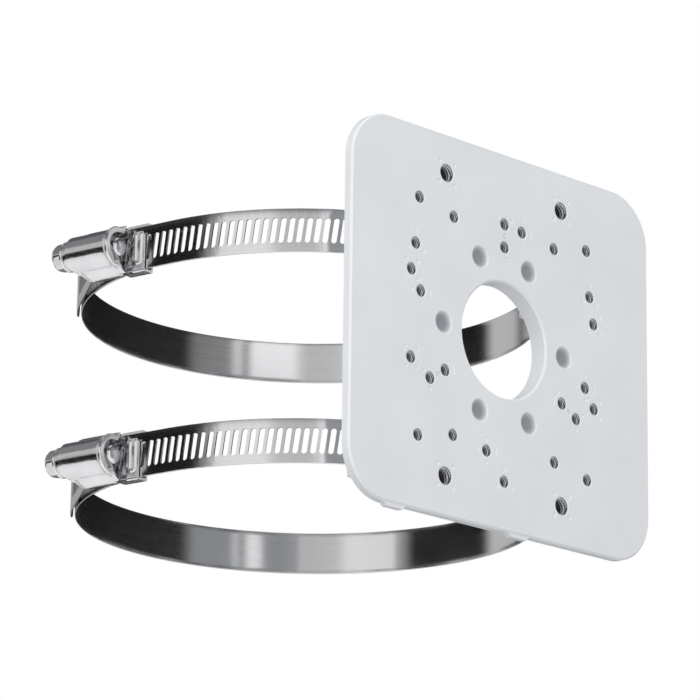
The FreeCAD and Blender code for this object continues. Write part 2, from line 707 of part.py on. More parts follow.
def worm_screw(level):
    body = new_body(f"{level}_screw")
    shank = axis_sketch(body, f"{level}_shank")
    worm_near = "(Size.tip_place + Size.tip_length)"
    outline = [
        ("0", "Size.tip_place"), ("Size.neck_radius", "Size.tip_place"),
        ("Size.neck_radius", worm_near),
        (WORM_RADIUS, worm_near), (WORM_RADIUS, WALL_NEAR),
        ("Size.neck_radius", WALL_NEAR), ("Size.neck_radius", FLANGE_NEAR),
        ("Size.flange_radius", FLANGE_NEAR), ("Size.flange_radius", HEAD_NEAR),
        ("0", HEAD_NEAR),
    ]
    polygon(shank, [(across, f"-{along}") for across, along in outline])
    turned = body.newObject("PartDesign::Revolution", f"{level}_turned_shank")
    turned.Profile = shank
    turned.ReferenceAxis = (shank, ["V_Axis"])
    turned.Angle = 360
    document.recompute()

    head = sketch_on(body, "XZ_Plane", f"{level}_hexagon", HEAD_NEAR)
    corner = "(Size.hexagon_flats / sqrt(3))"
    polygon(head, [
        (f"{SCREW_AXIS} + {corner} * cos({60 * turn} deg)", f"{corner} * sin({60 * turn} deg)")
        for turn in range(6)
    ])
    pad(body, head, "Size.hexagon_height")

    bevel = axis_sketch(body, f"{level}_head_bevel")
    drop = f"({corner} - Size.hexagon_flats / 2)"
    polygon(bevel, [
        ("Size.hexagon_flats / 2", f"-{HEAD_FAR}"), (f"2 * {corner}", f"-{HEAD_FAR}"),
        (f"2 * {corner}", f"-({HEAD_FAR} - ({corner} + {drop}) * Size.bevel_slope)"),
    ])
    cut = body.newObject("PartDesign::Groove", f"{level}_bevelled_head")
    cut.Profile = bevel
    cut.ReferenceAxis = (bevel, ["V_Axis"])
    cut.Angle = 360
    document.recompute()

    driver = sketch_on(body, "XZ_Plane", f"{level}_driver_slot", HEAD_FAR)
    half = "Size.driver_slot_width / 2"
    rectangle(driver, f"{SCREW_AXIS} - Size.flange_radius", f"{SCREW_AXIS} + Size.flange_radius",
              f"-{half}", half)
    pocket(body, driver, "Size.driver_slot_depth")
    seat_clamp_part(body, level)
    return body


nodes = [mounting_plate()]
for level in ("upper", "lower"):
    nodes += [band(level), saddle(level), housing(level), worm_screw(level)]
document.recompute()

for thing in document.Objects:
    if "Invalid" in thing.State or "Error" in thing.State:
        raise ValueError(f"{thing.Name} is {thing.State}")
for node in nodes:
    if node.Shape.isNull() or not node.Shape.isValid() or len(node.Shape.Solids) != 1:
        raise ValueError(f"{node.Label} is not one valid solid")

os.makedirs("parts", exist_ok=True)
for node in nodes:
    node.Shape.exportStep(f"parts/{node.Label}.step")
    print(node.Label, round(node.Shape.Volume, 1))
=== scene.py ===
import bmesh
import bpy
import json
import math
from mathutils import Matrix, Vector

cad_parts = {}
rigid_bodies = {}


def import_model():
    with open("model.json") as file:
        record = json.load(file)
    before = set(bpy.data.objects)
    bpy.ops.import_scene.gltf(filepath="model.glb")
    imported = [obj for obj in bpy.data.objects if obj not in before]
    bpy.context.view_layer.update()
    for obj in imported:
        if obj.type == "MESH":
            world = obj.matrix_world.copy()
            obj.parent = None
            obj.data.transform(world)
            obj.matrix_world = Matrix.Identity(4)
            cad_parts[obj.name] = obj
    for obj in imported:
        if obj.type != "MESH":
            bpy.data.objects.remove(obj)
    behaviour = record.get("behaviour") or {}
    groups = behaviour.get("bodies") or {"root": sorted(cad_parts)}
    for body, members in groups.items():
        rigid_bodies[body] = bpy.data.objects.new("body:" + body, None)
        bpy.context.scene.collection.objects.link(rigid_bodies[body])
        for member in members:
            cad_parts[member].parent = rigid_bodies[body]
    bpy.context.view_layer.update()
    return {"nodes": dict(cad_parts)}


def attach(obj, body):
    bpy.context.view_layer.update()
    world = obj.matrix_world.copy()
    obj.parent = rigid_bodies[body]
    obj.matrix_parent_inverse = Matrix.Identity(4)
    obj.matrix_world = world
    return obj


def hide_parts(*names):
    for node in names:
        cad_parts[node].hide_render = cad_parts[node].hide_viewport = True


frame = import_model()


# Adapter plate
# One aluminium die casting, painted white on both sides with a satin powder coat that shows
# a fine orange peel. The screw holes are tapped after painting.
def new_material(name):
    """A new material, with its node tree and its Principled shader."""
    material = bpy.data.materials.new(name)
    material.use_nodes = True
    tree = material.node_tree
    return material, tree, tree.nodes["Principled BSDF"]


def add_noise(tree, scale, detail, stretch=(1, 1, 1)):
    """Noise in the object's own coordinates, stretched along its axes."""
    where = tree.nodes.new("ShaderNodeTexCoord")
    mapping = tree.nodes.new("ShaderNodeMapping")
    mapping.inputs["Scale"].default_value = stretch
    noise = tree.nodes.new("ShaderNodeTexNoise")
    noise.inputs["Scale"].default_value = scale
    noise.inputs["Detail"].default_value = detail
    tree.links.new(where.outputs["Object"], mapping.inputs["Vector"])
    tree.links.new(mapping.outputs["Vector"], noise.inputs["Vector"])
    return noise.outputs["Fac"]


def add_range(tree, source, low, high, from_low=0.3, from_high=0.7):
    """Turns a grey value into a number between low and high."""
    spread = tree.nodes.new("ShaderNodeMapRange")
    spread.inputs["From Min"].default_value = from_low
    spread.inputs["From Max"].default_value = from_high
    spread.inputs["To Min"].default_value = low
    spread.inputs["To Max"].default_value = high
    tree.links.new(source, spread.inputs["Value"])
    return spread.outputs["Result"]


def add_tint(tree, source, dark, light):
    """Turns a grey value into a colour between two tints."""
    ramp = tree.nodes.new("ShaderNodeValToRGB")
    ramp.color_ramp.elements[0].position = 0.3
    ramp.color_ramp.elements[0].color = (*dark, 1)
    ramp.color_ramp.elements[1].position = 0.7
    ramp.color_ramp.elements[1].color = (*light, 1)
    tree.links.new(source, ramp.inputs["Fac"])
    return ramp.outputs["Color"]


def add_bump(tree, source, depth, strength=1.0, below=None):
    """A bump of the given depth in metres, on top of another one if given."""
    bump = tree.nodes.new("ShaderNodeBump")
    bump.inputs["Distance"].default_value = depth
    bump.inputs["Strength"].default_value = strength
    tree.links.new(source, bump.inputs["Height"])
    if below:
        tree.links.new(below, bump.inputs["Normal"])
    return bump.outputs["Normal"]


def add_depth_mix(tree, colour, deep_colour, start, end, shader):
    """Lets a colour pass into a second one between two depths in the plate, in metres."""
    place = tree.nodes.new("ShaderNodeSeparateXYZ")
    tree.links.new(tree.nodes.new("ShaderNodeTexCoord").outputs["Object"], place.inputs[0])
    mix = tree.nodes.new("ShaderNodeMix")
    mix.data_type = "RGBA"
    mix.inputs["B"].default_value = (*deep_colour, 1)
    tree.links.new(add_range(tree, place.outputs["Y"], 0.0, 1.0, start, end),
                   mix.inputs["Factor"])
    tree.links.new(colour, mix.inputs["A"])
    tree.links.new(mix.outputs["Result"], shader.inputs["Base Color"])


def new_piece(name, points, faces, material, smooth_angle=35):
    """A mesh object from points in millimetres, shaded smooth up to an angle."""
    mesh = bpy.data.meshes.new(name)
    mesh.from_pydata([(x / 1000, y / 1000, z / 1000) for x, y, z in points], [], faces)
    shaping = bmesh.new()
    shaping.from_mesh(mesh)
    bmesh.ops.remove_doubles(shaping, verts=shaping.verts, dist=1e-7)
    bmesh.ops.recalc_face_normals(shaping, faces=shaping.faces)
    shaping.to_mesh(mesh)
    shaping.free()
    mesh.shade_smooth()
    mesh.set_sharp_from_angle(angle=math.radians(smooth_angle))
    mesh.materials.append(material)
    piece = bpy.data.objects.new(name, mesh)
    bpy.context.scene.collection.objects.link(piece)
    return piece


def cut_away(piece, cutter, smooth_angle=40):
    """Cuts one body out of another and keeps the result as the piece's mesh."""
    cut = piece.modifiers.new("cut", "BOOLEAN")
    cut.operation, cut.solver, cut.object = "DIFFERENCE", "MANIFOLD", cutter
    bpy.context.view_layer.update()
    graph = bpy.context.evaluated_depsgraph_get()
    mesh = bpy.data.meshes.new_from_object(piece.evaluated_get(graph))
    piece.modifiers.clear()
    piece.data = mesh
    mesh.shade_smooth()
    mesh.set_sharp_from_angle(angle=math.radians(smooth_angle))
    bpy.data.objects.remove(cutter)


def shade_flats(mesh, least_area):
    """Shades the level parts of a mesh flat where they are larger than an area in square
    millimetres, so that only the curved parts are shaded smooth."""
    shape = bmesh.new()
    shape.from_mesh(mesh)
    shape.faces.index_update()
    known = set()
    for start in shape.faces:
        if start.index in known:
            continue
        known.add(start.index)
        part, waiting = [], [start]
        while waiting:
            face = waiting.pop()
            part.append(face)
            for edge in face.edges:
                for other in edge.link_faces:
                    if other.index not in known and other.normal.dot(start.normal) > 0.99998:
                        known.add(other.index)
                        waiting.append(other)
        if sum(face.calc_area() for face in part) * 1e6 > least_area:
            for face in part:
                face.smooth = False
    shape.to_mesh(mesh)
    shape.free()


white_paint, paint, shader = new_material("white_satin_paint")
paint_cloud = add_noise(paint, 45, 3)
paint.links.new(add_tint(paint, paint_cloud, (0.83, 0.845, 0.865), (0.865, 0.88, 0.90)),
                shader.inputs["Base Color"])
paint.links.new(add_range(paint, paint_cloud, 0.40, 0.48), shader.inputs["Roughness"])
peel = add_bump(paint, add_noise(paint, 950, 2), 0.00006, 0.5)
paint.links.new(add_bump(paint, add_noise(paint, 260, 2), 0.0002, 0.25, peel),
                shader.inputs["Normal"])

# painted shade: the recess paint is greyer than the white paint and darkens with depth, standing
# in for the shade in the blind recesses
recess_painted_shade, paint, shader = new_material("painted_shade_in_recess")
speckle = add_noise(paint, 900, 4)
add_depth_mix(paint, add_tint(paint, speckle, (0.72, 0.73, 0.75), (0.80, 0.81, 0.83)),
              (0.30, 0.31, 0.34), 0.0002, 0.0012, shader)
paint.links.new(add_range(paint, speckle, 0.55, 0.70), shader.inputs["Roughness"])
paint.links.new(add_bump(paint, speckle, 0.00008, 0.5), shader.inputs["Normal"])

# bare metal at the mouths of the holes, darkened further in with painted shade of the deep holes
tapped_metal, metal, shader = new_material("tapped_aluminium")
shader.inputs["Metallic"].default_value = 0.35
cut_marks = add_noise(metal, 600, 3)
add_depth_mix(metal, add_tint(metal, cut_marks, (0.66, 0.66, 0.68), (0.82, 0.82, 0.84)),
              (0.03, 0.03, 0.035), 0.0012, 0.0036, shader)
metal.links.new(add_range(metal, cut_marks, 0.34, 0.48), shader.inputs["Roughness"])

# painted shade: the bore walls between the ridges of the threads are near black and darken further
# with depth, standing in for the shade in the thread roots
thread_root, metal, shader = new_material("thread_root_painted_shade")
root_tone = add_noise(metal, 800, 3)
add_depth_mix(metal, add_tint(metal, root_tone, (0.10, 0.10, 0.11), (0.17, 0.17, 0.18)),
              (0.02, 0.02, 0.025), 0.0006, 0.0024, shader)
metal.links.new(add_range(metal, root_tone, 0.45, 0.60), shader.inputs["Roughness"])


def on_circle(radius, degrees):
    turn = math.radians(degrees)
    return radius * math.cos(turn), radius * math.sin(turn)


def on_rectangle(width, height):
    return [(x * width / 2, z * height / 2) for x in (-1, 1) for z in (-1, 1)]


PLATE_FRONT, PLATE_BACK = 0.0, 6.0
SMALL_BORE, LARGE_BORE = 1.85, 2.75
inner_ring = [on_circle(30.0, angle) for angle in (90, 210, 330)]
middle_ring = [on_circle(37.5, angle) for angle in (90, 210, 330)]
turned_ring = [on_circle(37.5, angle) for angle in (78, 168, 258, 348)]
outer_ring = [on_circle(45.0, angle) for angle in (30, 150, 270)]
wide_rectangle = on_rectangle(81.5, 27.8)
small_places = (inner_ring + middle_ring + turned_ring + outer_ring + wide_rectangle
                + on_rectangle(45.0, 69.3) + on_rectangle(75.0, 75.0))
large_places = on_rectangle(51.5, 96.0)
recess_places = [on_circle(26.8, angle) for angle in (0, 66, 114, 180, 246, 294)]
RECESS_RADIUS, CABLE_RADIUS = 3.4, 18.5

MARK_DEPTH, MARK_SLOPE, OUTSIDE = 0.30, 0.28, 0.1
cut_points, cut_faces = [], []


def add_cut(levels):
    """A closed cutter from outlines of one length at rising depths in the plate."""
    first, count = len(cut_points), len(levels[0][1])
    for depth, outline in levels:
        cut_points.extend((x, depth, z) for x, z in outline)
    for level in range(len(levels) - 1):
        low, high = first + level * count, first + (level + 1) * count
        for number in range(count):
            following = (number + 1) % count
            cut_faces.append((low + number, low + following, high + following, high + number))
    cut_faces.append(tuple(range(first, first + count)))
    last = first + (len(levels) - 1) * count
    cut_faces.append(tuple(range(last, last + count)))


def shrunk(outline, by):
    """The outline moved inwards, corner by corner."""
    moved = []
    for number, here in enumerate(outline):
        before, after = outline[number - 1], outline[(number + 1) % len(outline)]
        come = Vector((here[0] - before[0], here[1] - before[1])).normalized()
        leave = Vector((after[0] - here[0], after[1] - here[1])).normalized()
        inward = Vector((-come.y - leave.y, come.x + leave.x))
        inward = inward.normalized() * by / max(0.4, math.sqrt((1 + come.dot(leave)) / 2))
        moved.append((here[0] + inward.x, here[1] + inward.y))
    return moved


def add_mark(outline):
    """A shallow sunk mark with sloping sides. The outline runs anticlockwise."""
    flare = -MARK_SLOPE * OUTSIDE / MARK_DEPTH
    add_cut([(-OUTSIDE, shrunk(outline, flare)), (MARK_DEPTH, shrunk(outline, MARK_SLOPE))])


def add_dot(middle, radius, corners=12, turned=0.0):
    add_mark([(middle[0] + on_circle(radius, turned + 360 * n / corners)[0],
               middle[1] + on_circle(radius, turned + 360 * n / corners)[1])
              for n in range(corners)])


def add_arc_mark(middle, radius, start, end, width=0.8):
    angles = [start + (end - start) * n / 8 for n in range(9)]
    outline = [on_circle(radius + width / 2, angle) for angle in angles]
    outline += [on_circle(radius - width / 2, angle) for angle in reversed(angles)]
    add_mark([(middle[0] + x, middle[1] + z) for x, z in outline])


def add_bracket(middle, side, lift, leg=1.7, width=0.75):
    corners = ((0, 0), (-leg, 0), (-leg, -width), (-width, -width), (-width, -leg), (0, -leg))
    outline = [(middle[0] + side * x, middle[1] + lift * z) for x, z in corners]
    add_mark(outline if side * lift > 0 else outline[::-1])


def shifted(place, radius, degrees):
    step = on_circle(radius, degrees)
    return place[0] + step[0], place[1] + step[1]


# each pattern of holes has its own sign, so that the fitter finds the ones that belong together
for place in large_places:
    for angle in (45, 135, 225, 315):
        add_dot(shifted(place, 4.7, angle), radius=0.8)
for place in outer_ring:
    for angle in (90, 210, 330):
        add_dot(shifted(place, 3.75, angle), radius=1.3, corners=3, turned=90)
for place in wide_rectangle:
    for side in (-1, 1):
        for lift in (-1, 1):
            add_bracket((place[0] + side * 3.3, place[1] + lift * 3.4), side, lift)
for place in middle_ring:
    for angle in (30, 150, 270):
        add_dot(shifted(place, 3.5, angle), radius=1.1, corners=3, turned=270)
for place in turned_ring:
    for angle in (90, 180, 270):
        add_dot(shifted(place, 3.8, angle), radius=0.8, corners=4)
    add_arc_mark(place, 4.1, start=-18, end=18)
for place, angle in zip(inner_ring, (270, 30, 150)):
    add_arc_mark(place, 3.7, angle - 42, angle + 42)
    add_dot(shifted(place, 3.5, angle + 180), radius=0.7)


def add_rim(place, radius, reach, corners):
    """The rounded rim that the paint gives a hole."""
    def ring(size):
        return [shifted(place, size, 360 * (n + 0.5) / corners) for n in range(corners)]

    add_cut([(-OUTSIDE, ring(radius + reach + 3 * OUTSIDE)),
             (0.14 * reach, ring(radius + 0.58 * reach)),
             (0.40 * reach, ring(radius + 0.25 * reach)),
             (0.75 * reach, ring(radius + 0.07 * reach)), (1.15 * reach, ring(radius - 0.02))])


for place in small_places:
    add_rim(place, SMALL_BORE, 0.38, 28)
for place in large_places:
    add_rim(place, LARGE_BORE, 0.42, 32)
for place in recess_places:
    add_rim(place, RECESS_RADIUS, 0.35, 40)
add_rim((0.0, 0.0), CABLE_RADIUS, 0.55, 96)

cad_plate = frame["nodes"]["mounting_plate"]
casting = new_piece("plate_casting", [corner.co * 1000 for corner in cad_plate.data.vertices],
                    [tuple(polygon.vertices) for polygon in cad_plate.data.polygons], white_paint)
cut_away(casting, new_piece("plate_cuts", cut_points, cut_faces, white_paint), 30)
casting.data.materials.clear()
for material in (white_paint, recess_painted_shade, thread_root):
    casting.data.materials.append(material)
ROOT_START, WALL_SLACK = 0.3, 0.02
bores = ([(place, SMALL_BORE) for place in small_places]
         + [(place, LARGE_BORE) for place in large_places])
# the bore walls between the thread ridges get the painted shade of the thread roots
for polygon in casting.data.polygons:
    polygon.material_index = 0
    middle = polygon.center * 1000
    if ROOT_START < middle.y < PLATE_BACK and abs(polygon.normal.y) < 0.5:
        for (x, z), radius in bores:
            if math.hypot(middle.x - x, middle.z - z) < radius + WALL_SLACK:
                polygon.material_index = 2
shade_flats(casting.data, least_area=10.0)
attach(casting, "plate")
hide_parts("mounting_plate")

# the recess floors are dished: they rise in a curve to the wall
DISH_ROWS = ((0.0, 1.37), (1.0, 1.34), (1.7, 1.24), (2.3, 1.06), (2.8, 0.82), (3.1, 0.60),
             (3.30, 0.42), (3.39, 0.32))
DISH_UNDERSIDE = ((3.395, 1.38), (0.0, 1.39))
DISH_CORNERS, PAINTED_SHADE_FROM = 40, 0.5
dish_points, dish_faces = [], []
for x, z in recess_places:
    rows = DISH_ROWS + DISH_UNDERSIDE
    first = len(dish_points)
    for radius, depth in rows:
        for number in range(DISH_CORNERS):
            step = on_circle(radius, 360 * number / DISH_CORNERS)
            dish_points.append((x + step[0], depth, z + step[1]))
    for row in range(len(rows) - 1):
        low, high = first + DISH_CORNERS * row, first + DISH_CORNERS * (row + 1)
        for number in range(DISH_CORNERS):
            following = (number + 1) % DISH_CORNERS
            dish_faces.append((low + number, low + following, high + following, high + number))
dishes = new_piece("recess_floors", dish_points, dish_faces, recess_painted_shade, 50)
dishes.data.materials.append(white_paint)
# the dish's shallow faces take the white paint and the deeper ones the painted shade of the
# recesses
for polygon in dishes.data.polygons:
    if polygon.center.y * 1000 < PAINTED_SHADE_FROM:
        polygon.material_index = 1
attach(dishes, "plate")


# Tapped threads in the plate's screw holes
# M4 and M6 threads, cut into the bare casting, so the cutter has left bright metal under the
# paint. Real ones are right-hand. The ridges drawn here wind the wrong way, left-hand.
def tapped_threads(name, places, bore, crest, pitch):
    """Helical ridges on the walls of a family of holes."""
    steps, inset, buried = 20, 0.45, 0.04
    foot, crest_start, crest_end, heel = (share * pitch for share in (0.12, 0.40, 0.52, 0.80))
    points, faces = [], []
    turns = (PLATE_BACK - PLATE_FRONT - 2 * inset - pitch) / pitch
    for x, z in places:
        first = len(points)
        count = int(turns * steps) + 1
        for step in range(count):
            angle = 2 * math.pi * step / steps
            depth = PLATE_FRONT + inset + pitch * step / steps
            fade = min(1.0, step / (steps / 4), (count - 1 - step) / (steps / 4))
            top = bore - (bore - crest) * fade
            for radius, along in ((bore + buried, foot), (top, crest_start),
                                  (top, crest_end), (bore + buried, heel)):
                points.append((x + radius * math.cos(angle), depth + along,
                               z + radius * math.sin(angle)))
            if step:
                row = first + 4 * (step - 1)
                for corner in range(3):
                    faces.append((row + corner, row + corner + 1, row + corner + 5,
                                  row + corner + 4))
                faces.append((row + 3, row, row + 4, row + 7))
        faces.append((first + 3, first + 2, first + 1, first))
        last = first + 4 * (count - 1)
        faces.append((last, last + 1, last + 2, last + 3))
    piece = new_piece(name, points, faces, tapped_metal, 25)
    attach(piece, "plate")


tapped_threads("small_threads", small_places, SMALL_BORE, crest=1.60, pitch=0.7)
tapped_threads("large_threads", large_places, LARGE_BORE, crest=2.44, pitch=1.0)


# Clamp bands
# Each is one strip of bright rolled stainless steel, 14 mm wide and 0.65 mm thick, slotted by
# a press tool along its free end. The strip turns once round the pole, runs straight through
# the housing and bends back on to itself as a free tail.
RING_RADIUS, RUN_LENGTH, BEND_RADIUS = 74.3, 27.0, 10.0
STRIP_THICKNESS, STRIP_WIDTH = 0.65, 14.0
TAIL_RADIUS = RING_RADIUS + 0.75 + STRIP_THICKNESS
BEND_MIDDLE = RING_RADIUS - BEND_RADIUS
reach = math.hypot(BEND_MIDDLE, RUN_LENGTH)
TAIL_TURN = math.atan2(RUN_LENGTH, BEND_MIDDLE) + math.acos((TAIL_RADIUS - BEND_RADIUS) / reach)
TAIL_STRAIGHT = math.sqrt(reach ** 2 - (TAIL_RADIUS - BEND_RADIUS) ** 2)
BEND_LENGTH = BEND_RADIUS * TAIL_TURN
RING_CENTRE = 12.9 + RING_RADIUS
CLAMP_ANGLE = math.radians(190)
LEVELS = {"upper": 31.1, "lower": -35.9}


def strip_place(along, out):
    """A point of the strip seen along the pole, from its distance past the clamp's place and
    its height over the strip's outer face."""
    if along <= 0:
        angle = -along / RING_RADIUS
        return (RING_RADIUS + out) * math.cos(angle), (RING_RADIUS + out) * math.sin(angle)
    if along <= RUN_LENGTH:
        return RING_RADIUS + out, -along
    along -= RUN_LENGTH
    turn = min(along / BEND_RADIUS, TAIL_TURN)
    x = BEND_MIDDLE + (BEND_RADIUS + out) * math.cos(turn)
    y = -RUN_LENGTH - (BEND_RADIUS + out) * math.sin(turn)
    along = max(0.0, along - BEND_LENGTH)
    if along <= TAIL_STRAIGHT:
        return x - along * math.sin(turn), y - along * math.cos(turn)
    angle = TAIL_TURN + (along - TAIL_STRAIGHT) / TAIL_RADIUS
    return (TAIL_RADIUS + out) * math.cos(angle), -(TAIL_RADIUS + out) * math.sin(angle)


def clamp_point(x, y, z):
    """From the clamp's own frame to the bracket's, at the ring centre's height."""
    cos, sin = math.cos(CLAMP_ANGLE), math.sin(CLAMP_ANGLE)
    return x * cos - y * sin, RING_CENTRE + x * sin + y * cos, z


SLOT_PITCH = RING_RADIUS * math.radians(2.108)
SLOT_WIDTH, SLOT_LENGTH, SLOT_LEAN = 1.7, 8.2, math.radians(7.5)
SLOTS_BEFORE, SLOTS_AFTER = 23, 21
EDGE_ROUND = 0.16
half_width = STRIP_WIDTH / 2
flat_half = half_width - EDGE_ROUND
slot_side = SLOT_LENGTH / 2 - SLOT_WIDTH / 2
ROWS = (-flat_half, -5.4, -3.9, -1.8, 0.0, 1.8, 3.9, 5.4, flat_half)
SIDE_PLACES = ((225, 0), (202, 0), (180, 0), (180, 0.25), (180, 0.5), (180, 0.75), (180, 1),
               (158, 1), (135, 1))

strip_points, strip_faces, known = [], [], {}


def strip_point(along, across, out):
    key = (round(along, 4), round(across, 4), round(out, 4))
    if key not in known:
        known[key] = len(strip_points)
        x, y = strip_place(along, out)
        strip_points.append(clamp_point(x, y, across))
    return known[key]


def strip_edge(start, end, half_start, half_end):
    """The rounded long edges of the strip between two places along it."""
    for side in (-1, 1):
        outline = []
        for angle in (0, 30, 60, 90):
            turn = math.radians(angle)
            outline.append((EDGE_ROUND * (1 - math.sin(turn)), -EDGE_ROUND * (1 - math.cos(turn))))
        outline += [(inset, -STRIP_THICKNESS - out) for inset, out in reversed(outline)]
        for (inset, out), (next_inset, next_out) in zip(outline, outline[1:]):
            strip_faces.append((
                strip_point(start, side * (half_start - inset), out),
                strip_point(end, side * (half_end - inset), out),
                strip_point(end, side * (half_end - next_inset), next_out),
                strip_point(start, side * (half_start - next_inset), next_out)))


def plain_column(start, end, half_start=half_width, half_end=half_width):
    share_start = (half_start - EDGE_ROUND) / flat_half
    share_end = (half_end - EDGE_ROUND) / flat_half
    for low, high in zip(ROWS, ROWS[1:]):
        for out in (0, -STRIP_THICKNESS):
            strip_faces.append((
                strip_point(start, low * share_start, out), strip_point(end, low * share_end, out),
                strip_point(end, high * share_end, out),
                strip_point(start, high * share_start, out)))
    strip_edge(start, end, half_start, half_end)


def slotted_column(middle):
    """One pitch of the strip with a leaning, round-ended slot in it."""
    start, end = middle - SLOT_PITCH / 2, middle + SLOT_PITCH / 2
    quarters = [start + SLOT_PITCH * share for share in (0, 0.25, 0.5, 0.75, 1)]

    def slot_rim(angle, share):
        turn = math.radians(angle)
        across = -slot_side + 2 * slot_side * share + SLOT_WIDTH / 2 * math.sin(turn)
        lean = -across * math.tan(SLOT_LEAN)
        return middle + lean + SLOT_WIDTH / 2 * math.cos(turn), across

    ring = [((start, row), slot_rim(angle, share))
            for row, (angle, share) in zip(ROWS, SIDE_PLACES)]
    ring += [((place, ROWS[-1]), slot_rim(angle, 1))
             for place, angle in zip(quarters[1:4], (113, 90, 67))]
    ring += [((end, row), slot_rim(180 - angle, share))
             for row, (angle, share) in reversed(list(zip(ROWS, SIDE_PLACES)))]
    ring += [((place, ROWS[0]), slot_rim(angle, 0))
             for place, angle in zip(reversed(quarters[1:4]), (293, 270, 247))]
    for (outer, inner), (next_outer, next_inner) in zip(ring, ring[1:] + ring[:1]):
        for out in (0, -STRIP_THICKNESS):
            strip_faces.append((
                strip_point(*outer, out), strip_point(*next_outer, out),
                strip_point(*next_inner, out), strip_point(*inner, out)))
        strip_faces.append((
            strip_point(*inner, 0), strip_point(*next_inner, 0),
            strip_point(*next_inner, -STRIP_THICKNESS), strip_point(*inner, -STRIP_THICKNESS)))
    for place, following in zip(quarters, quarters[1:]):
        strip_edge(place, following, half_width, half_width)


def strip_end(along, half):
    """Closes the strip across its thickness."""
    share = (half - EDGE_ROUND) / flat_half
    loop = [strip_point(along, row * share, 0) for row in ROWS]
    sides = [(30, 0), (60, 0), (90, 0), (90, 1), (60, 1), (30, 1)]
    for side, rows in ((1, reversed(ROWS)), (-1, ())):
        for angle, under in sides if side > 0 else reversed(sides):
            turn = math.radians(angle)
            inset = EDGE_ROUND * (1 - math.sin(turn))
            drop = EDGE_ROUND * (1 - math.cos(turn))
            out = -STRIP_THICKNESS + drop if under else -drop
            loop.append(strip_point(along, side * (half - inset), out))
        loop += [strip_point(along, row * share, -STRIP_THICKNESS) for row in rows]
    strip_faces.append(tuple(loop))


PLAIN_STEP, TAIL_STEP = 2.6, 1.3
RING_TURN = math.radians(351)
strip_start = -RING_RADIUS * RING_TURN
slots_start = -(SLOTS_BEFORE + 0.5) * SLOT_PITCH
slots_end = (SLOTS_AFTER + 0.5) * SLOT_PITCH
TIP_CORNER = 4.5
TAIL_END_ANGLE = math.radians(56)
tail_end = RUN_LENGTH + BEND_LENGTH + TAIL_STRAIGHT + TAIL_RADIUS * (TAIL_END_ANGLE - TAIL_TURN)

columns = math.ceil((slots_start - strip_start) / PLAIN_STEP)
stops = [strip_start + (slots_start - strip_start) * number / columns
         for number in range(columns + 1)]
strip_end(strip_start, half_width)
for start, end in zip(stops, stops[1:]):
    plain_column(start, end)
for number in range(-SLOTS_BEFORE, SLOTS_AFTER + 1):
    slotted_column(number * SLOT_PITCH)
tip_start = tail_end - TIP_CORNER
columns = math.ceil((tip_start - slots_end) / TAIL_STEP)
stops = [slots_end + (tip_start - slots_end) * number / columns for number in range(columns + 1)]
for start, end in zip(stops, stops[1:]):
    plain_column(start, end)
turns = [math.radians(angle) for angle in range(0, 91, 10)]
tips = [(tip_start + TIP_CORNER * math.sin(turn),
         half_width - TIP_CORNER * (1 - math.cos(turn))) for turn in turns]
for (start, half_start), (end, half_end) in zip(tips, tips[1:]):
    plain_column(start, end, half_start, half_end)
strip_end(tips[-1][0], tips[-1][1])

rolled_steel, steel, shader = new_material("bright_rolled_stainless")
shader.inputs["Metallic"].default_value = 1.0
shader.inputs["Anisotropic"].default_value = 0.75
shader.inputs["Anisotropic Rotation"].default_value = 0.25
rolling = add_noise(steel, 1.0, 4, (30, 30, 5200))
steel.links.new(add_tint(steel, rolling, (0.71, 0.71, 0.725), (0.79, 0.79, 0.80)),
                shader.inputs["Base Color"])
steel.links.new(add_range(steel, rolling, 0.13, 0.20), shader.inputs["Roughness"])
steel.links.new(add_bump(steel, rolling, 0.000004, 0.35), shader.inputs["Normal"])

for level, height in LEVELS.items():
    strip = new_piece(f"{level}_strip", strip_points, strip_faces, rolled_steel, 30)
    strip.location.z = height / 1000
    bpy.context.view_layer.update()
    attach(strip, f"{level}_clamp")
    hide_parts(f"{level}_band")


# Saddles
# Each is a strip of stainless sheet under the ends of the band, with its long edges turned up
# and a tongue folded round the band's lower edge. The tongue is pressed with a looped bead.
pressed_steel, steel, shader = new_material("pressed_stainless")
shader.inputs["Metallic"].default_value = 1.0
pressing = add_noise(steel, 1.0, 3, (160, 160, 160))
scuffs = add_noise(steel, 1.0, 4, (900, 900, 2600))
steel.links.new(add_tint(steel, pressing, (0.74, 0.74, 0.75), (0.82, 0.82, 0.83)),
                shader.inputs["Base Color"])
steel.links.new(add_range(steel, scuffs, 0.12, 0.24), shader.inputs["Roughness"])
dents = add_bump(steel, pressing, 0.00012, 0.45)
steel.links.new(add_bump(steel, scuffs, 0.000008, 0.3, dents), shader.inputs["Normal"])


def smooth_line(corners, rounds=3):
    """Rounds off a line of points by cutting its corners."""
    line = [Vector(corner) for corner in corners]
    for _ in range(rounds):
        cut = [line[0]]
        for here, there in zip(line, line[1:]):
            cut += [here.lerp(there, 0.25), here.lerp(there, 0.75)]
        line = cut + [line[-1]]
    return line


def spread_line(line, count, share=1.0):
    """Evenly spaced points on the first share of a line."""
    steps = [0.0]
    for here, there in zip(line, line[1:]):
        steps.append(steps[-1] + (there - here).length)
    spread, number = [], 0
    for place in range(count):
        along = share * steps[-1] * place / (count - 1)
        while number < len(line) - 2 and steps[number + 1] < along:
            number += 1
        gap = steps[number + 1] - steps[number]
        spread.append(line[number].lerp(line[number + 1], (along - steps[number]) / gap))
    return spread


def add_loft(points, faces, sections):
    """A closed body through sections that are loops of outer points and then inner ones."""
    first = len(points)
    count = len(sections[0])
    for section in sections:
        points += section
    for row in range(len(sections) - 1):
        for number in range(count):
            following = (number + 1) % count
            a, b = first + row * count, first + (row + 1) * count
            faces.append((a + number, a + following, b + following, b + number))
    half = count // 2
    for start in (first, first + (len(sections) - 1) * count):
        for number in range(half - 1):
            faces.append((start + number, start + number + 1,
                          start + count - 2 - number, start + count - 1 - number))


